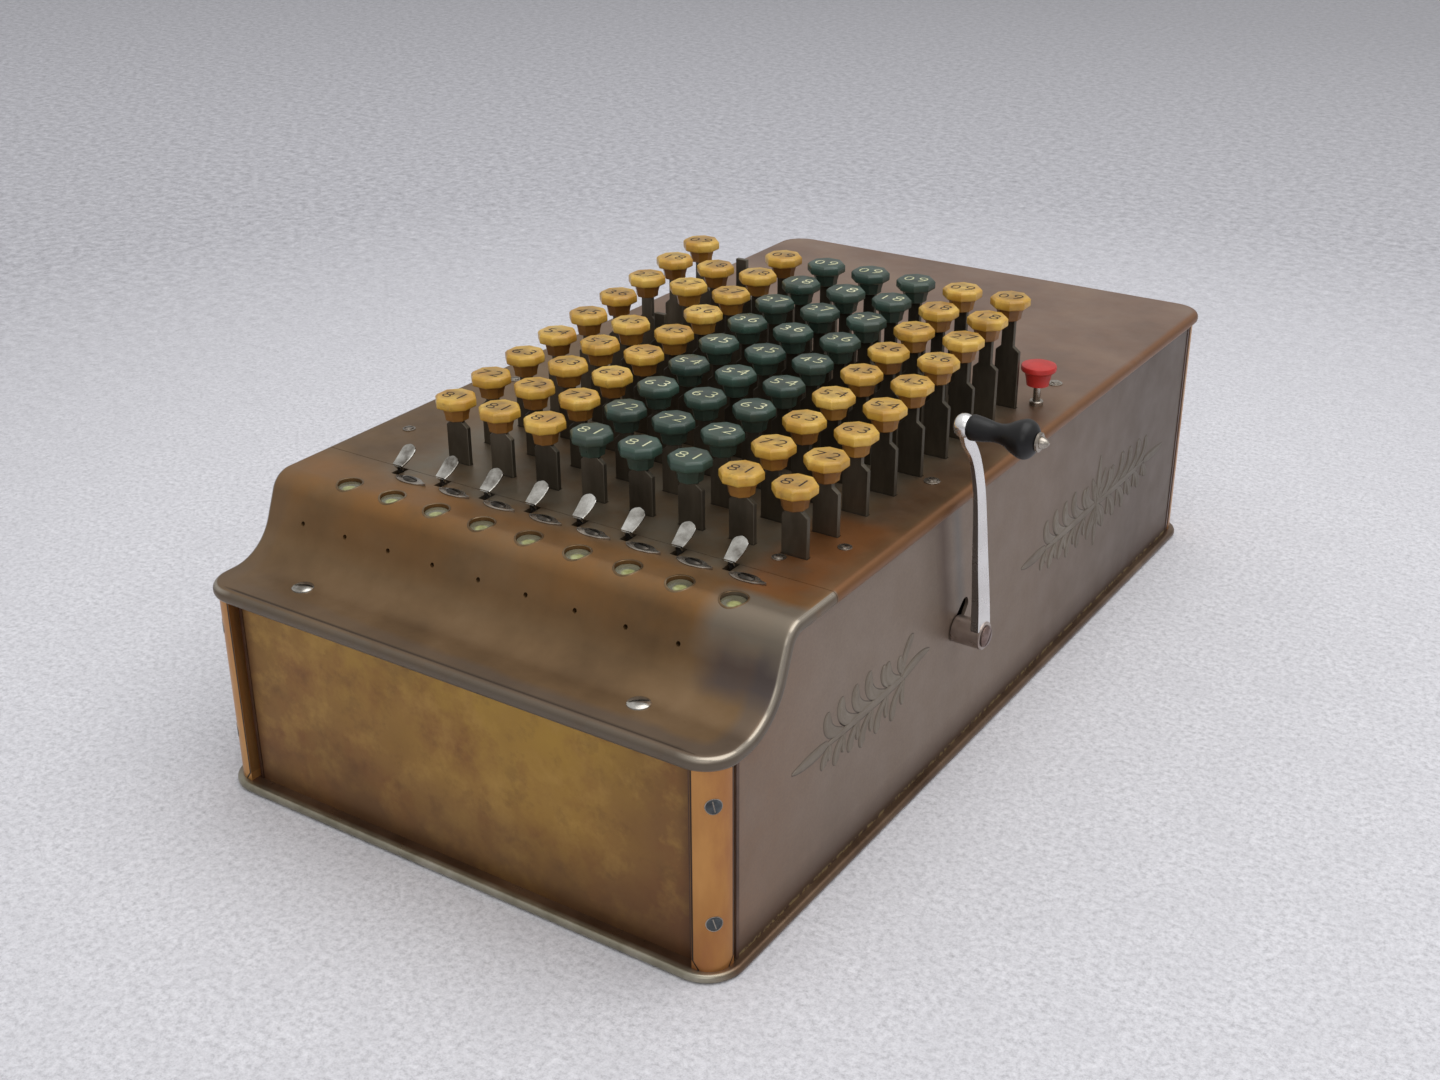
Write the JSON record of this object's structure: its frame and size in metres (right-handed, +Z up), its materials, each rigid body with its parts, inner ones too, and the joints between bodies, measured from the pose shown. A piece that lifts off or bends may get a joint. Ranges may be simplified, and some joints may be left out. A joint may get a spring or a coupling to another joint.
{
  "type": "key-driven calculator",
  "caption": "Desktop key-driven adding machine: octagonal keys on stepped stems through a slotted cover, a curved register cover with number windows, cut-off levers and a side crank.",
  "frame": {"origin": "centre of the base plate's underside, where the machine stands on a table", "axes": "+X is the operator's right and the crank's side, +Y runs from the operator's edge to the back, +Z is up"},
  "size_m": [0.2414, 0.38, 0.1459],
  "materials": {
    "nickelled_steel": "worn nickel plate over steel",
    "brass_panel": "mottled aged brass",
    "bronze_panel": "satin brown bronze with fine wear",
    "copper_post": "oxidised copper, bright on its round face",
    "bronze_cover": "dark bronze patina, worn grey round the keys",
    "copper_trim": "oxidised copper",
    "clear_glass": "clear",
    "steel": "dull steel with brown spots",
    "yellow_cap": "aged yellow celluloid",
    "green_cap": "aged green celluloid",
    "red_cap": "red celluloid",
    "black_wood": "black stained wood, waxed",
    "wheel_enamel": "pale green enamel with dark digits"
  },
  "bodies": {
    "case": {"base_plate": "nickelled_steel", "front_panel": "brass_panel", "rear_panel": "bronze_panel", "left_side_panel": "bronze_panel", "right_side_panel": "bronze_panel", "corner_posts": "copper_post", "register_cover": "bronze_cover", "keyboard_cover": "bronze_cover", "window_glass": "clear_glass", "leaf_plates": "copper_trim", "side_frames": "steel", "key_guide_plate": "steel", "pivot_rods": "steel"},
    "keys_1": {"key_stems_1": "steel", "key_caps_1": "yellow_cap"},
    "keys_2": {"key_stems_2": "steel", "key_caps_2": "yellow_cap"},
    "keys_3": {"key_stems_3": "steel", "key_caps_3": "yellow_cap"},
    "keys_4": {"key_stems_4": "steel", "key_caps_4": "green_cap"},
    "keys_5": {"key_stems_5": "steel", "key_caps_5": "green_cap"},
    "keys_6": {"key_stems_6": "steel", "key_caps_6": "green_cap"},
    "keys_7": {"key_stems_7": "steel", "key_caps_7": "yellow_cap"},
    "keys_8": {"key_stems_8": "steel", "key_caps_8": "yellow_cap"},
    "column_lever_1": {"column_lever_1": "steel"},
    "column_lever_2": {"column_lever_2": "steel"},
    "column_lever_3": {"column_lever_3": "steel"},
    "column_lever_4": {"column_lever_4": "steel"},
    "column_lever_5": {"column_lever_5": "steel"},
    "column_lever_6": {"column_lever_6": "steel"},
    "column_lever_7": {"column_lever_7": "steel"},
    "column_lever_8": {"column_lever_8": "steel"},
    "number_wheel_1": {"number_wheel_1": "wheel_enamel"},
    "number_wheel_2": {"number_wheel_2": "wheel_enamel"},
    "number_wheel_3": {"number_wheel_3": "wheel_enamel"},
    "number_wheel_4": {"number_wheel_4": "wheel_enamel"},
    "number_wheel_5": {"number_wheel_5": "wheel_enamel"},
    "number_wheel_6": {"number_wheel_6": "wheel_enamel"},
    "number_wheel_7": {"number_wheel_7": "wheel_enamel"},
    "number_wheel_8": {"number_wheel_8": "wheel_enamel"},
    "number_wheel_9": {"number_wheel_9": "wheel_enamel"},
    "cutoff_lever_1": {"cutoff_lever_1": "nickelled_steel"},
    "cutoff_lever_2": {"cutoff_lever_2": "nickelled_steel"},
    "cutoff_lever_3": {"cutoff_lever_3": "nickelled_steel"},
    "cutoff_lever_4": {"cutoff_lever_4": "nickelled_steel"},
    "cutoff_lever_5": {"cutoff_lever_5": "nickelled_steel"},
    "cutoff_lever_6": {"cutoff_lever_6": "nickelled_steel"},
    "cutoff_lever_7": {"cutoff_lever_7": "nickelled_steel"},
    "cutoff_lever_8": {"cutoff_lever_8": "nickelled_steel"},
    "crank": {"crank_shaft": "nickelled_steel", "crank_arm": "nickelled_steel"},
    "knob": {"crank_knob": "black_wood"},
    "release_key": {"release_key_cap": "red_cap", "release_key_stem": "nickelled_steel"}
  },
  "joints": [
    {"name": "keys_1_press", "type": "slide", "parent": "case", "child": "keys_1", "axis": [0, 0, -1], "range_m": [0, 0.004], "stiffness_N_per_m": 400, "springref_m": -0.01},
    {"name": "keys_2_press", "type": "slide", "parent": "case", "child": "keys_2", "axis": [0, 0, -1], "range_m": [0, 0.004], "stiffness_N_per_m": 400, "springref_m": -0.01},
    {"name": "keys_3_press", "type": "slide", "parent": "case", "child": "keys_3", "axis": [0, 0, -1], "range_m": [0, 0.004], "stiffness_N_per_m": 400, "springref_m": -0.01},
    {"name": "keys_4_press", "type": "slide", "parent": "case", "child": "keys_4", "axis": [0, 0, -1], "range_m": [0, 0.004], "stiffness_N_per_m": 400, "springref_m": -0.01},
    {"name": "keys_5_press", "type": "slide", "parent": "case", "child": "keys_5", "axis": [0, 0, -1], "range_m": [0, 0.004], "stiffness_N_per_m": 400, "springref_m": -0.01},
    {"name": "keys_6_press", "type": "slide", "parent": "case", "child": "keys_6", "axis": [0, 0, -1], "range_m": [0, 0.004], "stiffness_N_per_m": 400, "springref_m": -0.01},
    {"name": "keys_7_press", "type": "slide", "parent": "case", "child": "keys_7", "axis": [0, 0, -1], "range_m": [0, 0.004], "stiffness_N_per_m": 400, "springref_m": -0.01},
    {"name": "keys_8_press", "type": "slide", "parent": "case", "child": "keys_8", "axis": [0, 0, -1], "range_m": [0, 0.004], "stiffness_N_per_m": 400, "springref_m": -0.01},
    {"name": "column_lever_1_turn", "type": "hinge", "parent": "case", "child": "column_lever_1", "pos_m": [-0.04955, 0.155, 0.045], "axis": [1, 0, 0], "range_deg": [0, 2.01]},
    {"name": "column_lever_2_turn", "type": "hinge", "parent": "case", "child": "column_lever_2", "pos_m": [-0.0305, 0.155, 0.045], "axis": [1, 0, 0], "range_deg": [0, 2.01]},
    {"name": "column_lever_3_turn", "type": "hinge", "parent": "case", "child": "column_lever_3", "pos_m": [-0.01145, 0.155, 0.045], "axis": [1, 0, 0], "range_deg": [0, 2.01]},
    {"name": "column_lever_4_turn", "type": "hinge", "parent": "case", "child": "column_lever_4", "pos_m": [0.0076, 0.155, 0.045], "axis": [1, 0, 0], "range_deg": [0, 2.01]},
    {"name": "column_lever_5_turn", "type": "hinge", "parent": "case", "child": "column_lever_5", "pos_m": [0.02665, 0.155, 0.045], "axis": [1, 0, 0], "range_deg": [0, 2.01]},
    {"name": "column_lever_6_turn", "type": "hinge", "parent": "case", "child": "column_lever_6", "pos_m": [0.0457, 0.155, 0.045], "axis": [1, 0, 0], "range_deg": [0, 2.01]},
    {"name": "column_lever_7_turn", "type": "hinge", "parent": "case", "child": "column_lever_7", "pos_m": [0.06475, 0.155, 0.045], "axis": [1, 0, 0], "range_deg": [0, 2.01]},
    {"name": "column_lever_8_turn", "type": "hinge", "parent": "case", "child": "column_lever_8", "pos_m": [0.0838, 0.155, 0.045], "axis": [1, 0, 0], "range_deg": [0, 2.01]},
    {"name": "number_wheel_1_turn", "type": "hinge", "parent": "case", "child": "number_wheel_1", "pos_m": [-0.0732, -0.14332, 0.0906], "axis": [1, 0, 0], "range_deg": [-108.1, 0]},
    {"name": "number_wheel_2_turn", "type": "hinge", "parent": "case", "child": "number_wheel_2", "pos_m": [-0.05415, -0.14332, 0.0906], "axis": [1, 0, 0], "range_deg": [-108.1, 0]},
    {"name": "number_wheel_3_turn", "type": "hinge", "parent": "case", "child": "number_wheel_3", "pos_m": [-0.0351, -0.14332, 0.0906], "axis": [1, 0, 0], "range_deg": [-108.1, 0]},
    {"name": "number_wheel_4_turn", "type": "hinge", "parent": "case", "child": "number_wheel_4", "pos_m": [-0.01605, -0.14332, 0.0906], "axis": [1, 0, 0], "range_deg": [-108.1, 0]},
    {"name": "number_wheel_5_turn", "type": "hinge", "parent": "case", "child": "number_wheel_5", "pos_m": [0.003, -0.14332, 0.0906], "axis": [1, 0, 0], "range_deg": [-108.1, 0]},
    {"name": "number_wheel_6_turn", "type": "hinge", "parent": "case", "child": "number_wheel_6", "pos_m": [0.02205, -0.14332, 0.0906], "axis": [1, 0, 0], "range_deg": [-108.1, 0]},
    {"name": "number_wheel_7_turn", "type": "hinge", "parent": "case", "child": "number_wheel_7", "pos_m": [0.0411, -0.14332, 0.0906], "axis": [1, 0, 0], "range_deg": [-108.1, 0]},
    {"name": "number_wheel_8_turn", "type": "hinge", "parent": "case", "child": "number_wheel_8", "pos_m": [0.06015, -0.14332, 0.0906], "axis": [1, 0, 0], "range_deg": [-108.1, 0]},
    {"name": "number_wheel_9_turn", "type": "hinge", "parent": "case", "child": "number_wheel_9", "pos_m": [0.0792, -0.14332, 0.0906], "axis": [1, 0, 0], "range_deg": [-108.1, 0]},
    {"name": "cutoff_lever_1_turn", "type": "hinge", "parent": "case", "child": "cutoff_lever_1", "pos_m": [-0.066, -0.12752, 0.0945], "axis": [1, 0, 0], "range_deg": [0, 15]},
    {"name": "cutoff_lever_2_turn", "type": "hinge", "parent": "case", "child": "cutoff_lever_2", "pos_m": [-0.04695, -0.12752, 0.0945], "axis": [1, 0, 0], "range_deg": [0, 15]},
    {"name": "cutoff_lever_3_turn", "type": "hinge", "parent": "case", "child": "cutoff_lever_3", "pos_m": [-0.0279, -0.12752, 0.0945], "axis": [1, 0, 0], "range_deg": [0, 15]},
    {"name": "cutoff_lever_4_turn", "type": "hinge", "parent": "case", "child": "cutoff_lever_4", "pos_m": [-0.00885, -0.12752, 0.0945], "axis": [1, 0, 0], "range_deg": [0, 15]},
    {"name": "cutoff_lever_5_turn", "type": "hinge", "parent": "case", "child": "cutoff_lever_5", "pos_m": [0.0102, -0.12752, 0.0945], "axis": [1, 0, 0], "range_deg": [0, 15]},
    {"name": "cutoff_lever_6_turn", "type": "hinge", "parent": "case", "child": "cutoff_lever_6", "pos_m": [0.02925, -0.12752, 0.0945], "axis": [1, 0, 0], "range_deg": [0, 15]},
    {"name": "cutoff_lever_7_turn", "type": "hinge", "parent": "case", "child": "cutoff_lever_7", "pos_m": [0.0483, -0.12752, 0.0945], "axis": [1, 0, 0], "range_deg": [0, 15]},
    {"name": "cutoff_lever_8_turn", "type": "hinge", "parent": "case", "child": "cutoff_lever_8", "pos_m": [0.06735, -0.12752, 0.0945], "axis": [1, 0, 0], "range_deg": [0, 15]},
    {"name": "crank_turn", "type": "hinge", "parent": "case", "child": "crank", "pos_m": [0.1003, -0.0375, 0.0515], "axis": [1, 0, 0], "range_deg": [0, 80], "stiffness_Nm_per_rad": 0.05, "springref_deg": -28.65},
    {"name": "crank_knob_spin", "type": "hinge", "parent": "crank", "child": "knob", "pos_m": [0.1229, -0.05987, 0.13572], "axis": [1, 0, 0], "continuous": true},
    {"name": "release_key_press", "type": "slide", "parent": "case", "child": "release_key", "axis": [0, 0, -1], "range_m": [0, 0.0035], "stiffness_N_per_m": 150, "springref_m": -0.004}
  ],
  "couplings": [
    {"joint": "column_lever_1_turn", "follows": "keys_1_press", "rad_per_m": 8.7266},
    {"joint": "column_lever_2_turn", "follows": "keys_2_press", "rad_per_m": 8.7266},
    {"joint": "column_lever_3_turn", "follows": "keys_3_press", "rad_per_m": 8.7266},
    {"joint": "column_lever_4_turn", "follows": "keys_4_press", "rad_per_m": 8.7266},
    {"joint": "column_lever_5_turn", "follows": "keys_5_press", "rad_per_m": 8.7266},
    {"joint": "column_lever_6_turn", "follows": "keys_6_press", "rad_per_m": 8.7266},
    {"joint": "column_lever_7_turn", "follows": "keys_7_press", "rad_per_m": 8.7266},
    {"joint": "column_lever_8_turn", "follows": "keys_8_press", "rad_per_m": 8.7266},
    {"joint": "number_wheel_1_turn", "follows": "crank_turn", "ratio": -1.35},
    {"joint": "number_wheel_2_turn", "follows": "keys_1_press", "rad_per_m": -471.24},
    {"joint": "number_wheel_3_turn", "follows": "keys_2_press", "rad_per_m": -471.24},
    {"joint": "number_wheel_4_turn", "follows": "keys_3_press", "rad_per_m": -471.24},
    {"joint": "number_wheel_5_turn", "follows": "keys_4_press", "rad_per_m": -471.24},
    {"joint": "number_wheel_6_turn", "follows": "keys_5_press", "rad_per_m": -471.24},
    {"joint": "number_wheel_7_turn", "follows": "keys_6_press", "rad_per_m": -471.24},
    {"joint": "number_wheel_8_turn", "follows": "keys_7_press", "rad_per_m": -471.24},
    {"joint": "number_wheel_9_turn", "follows": "keys_8_press", "rad_per_m": -471.24}
  ]
}
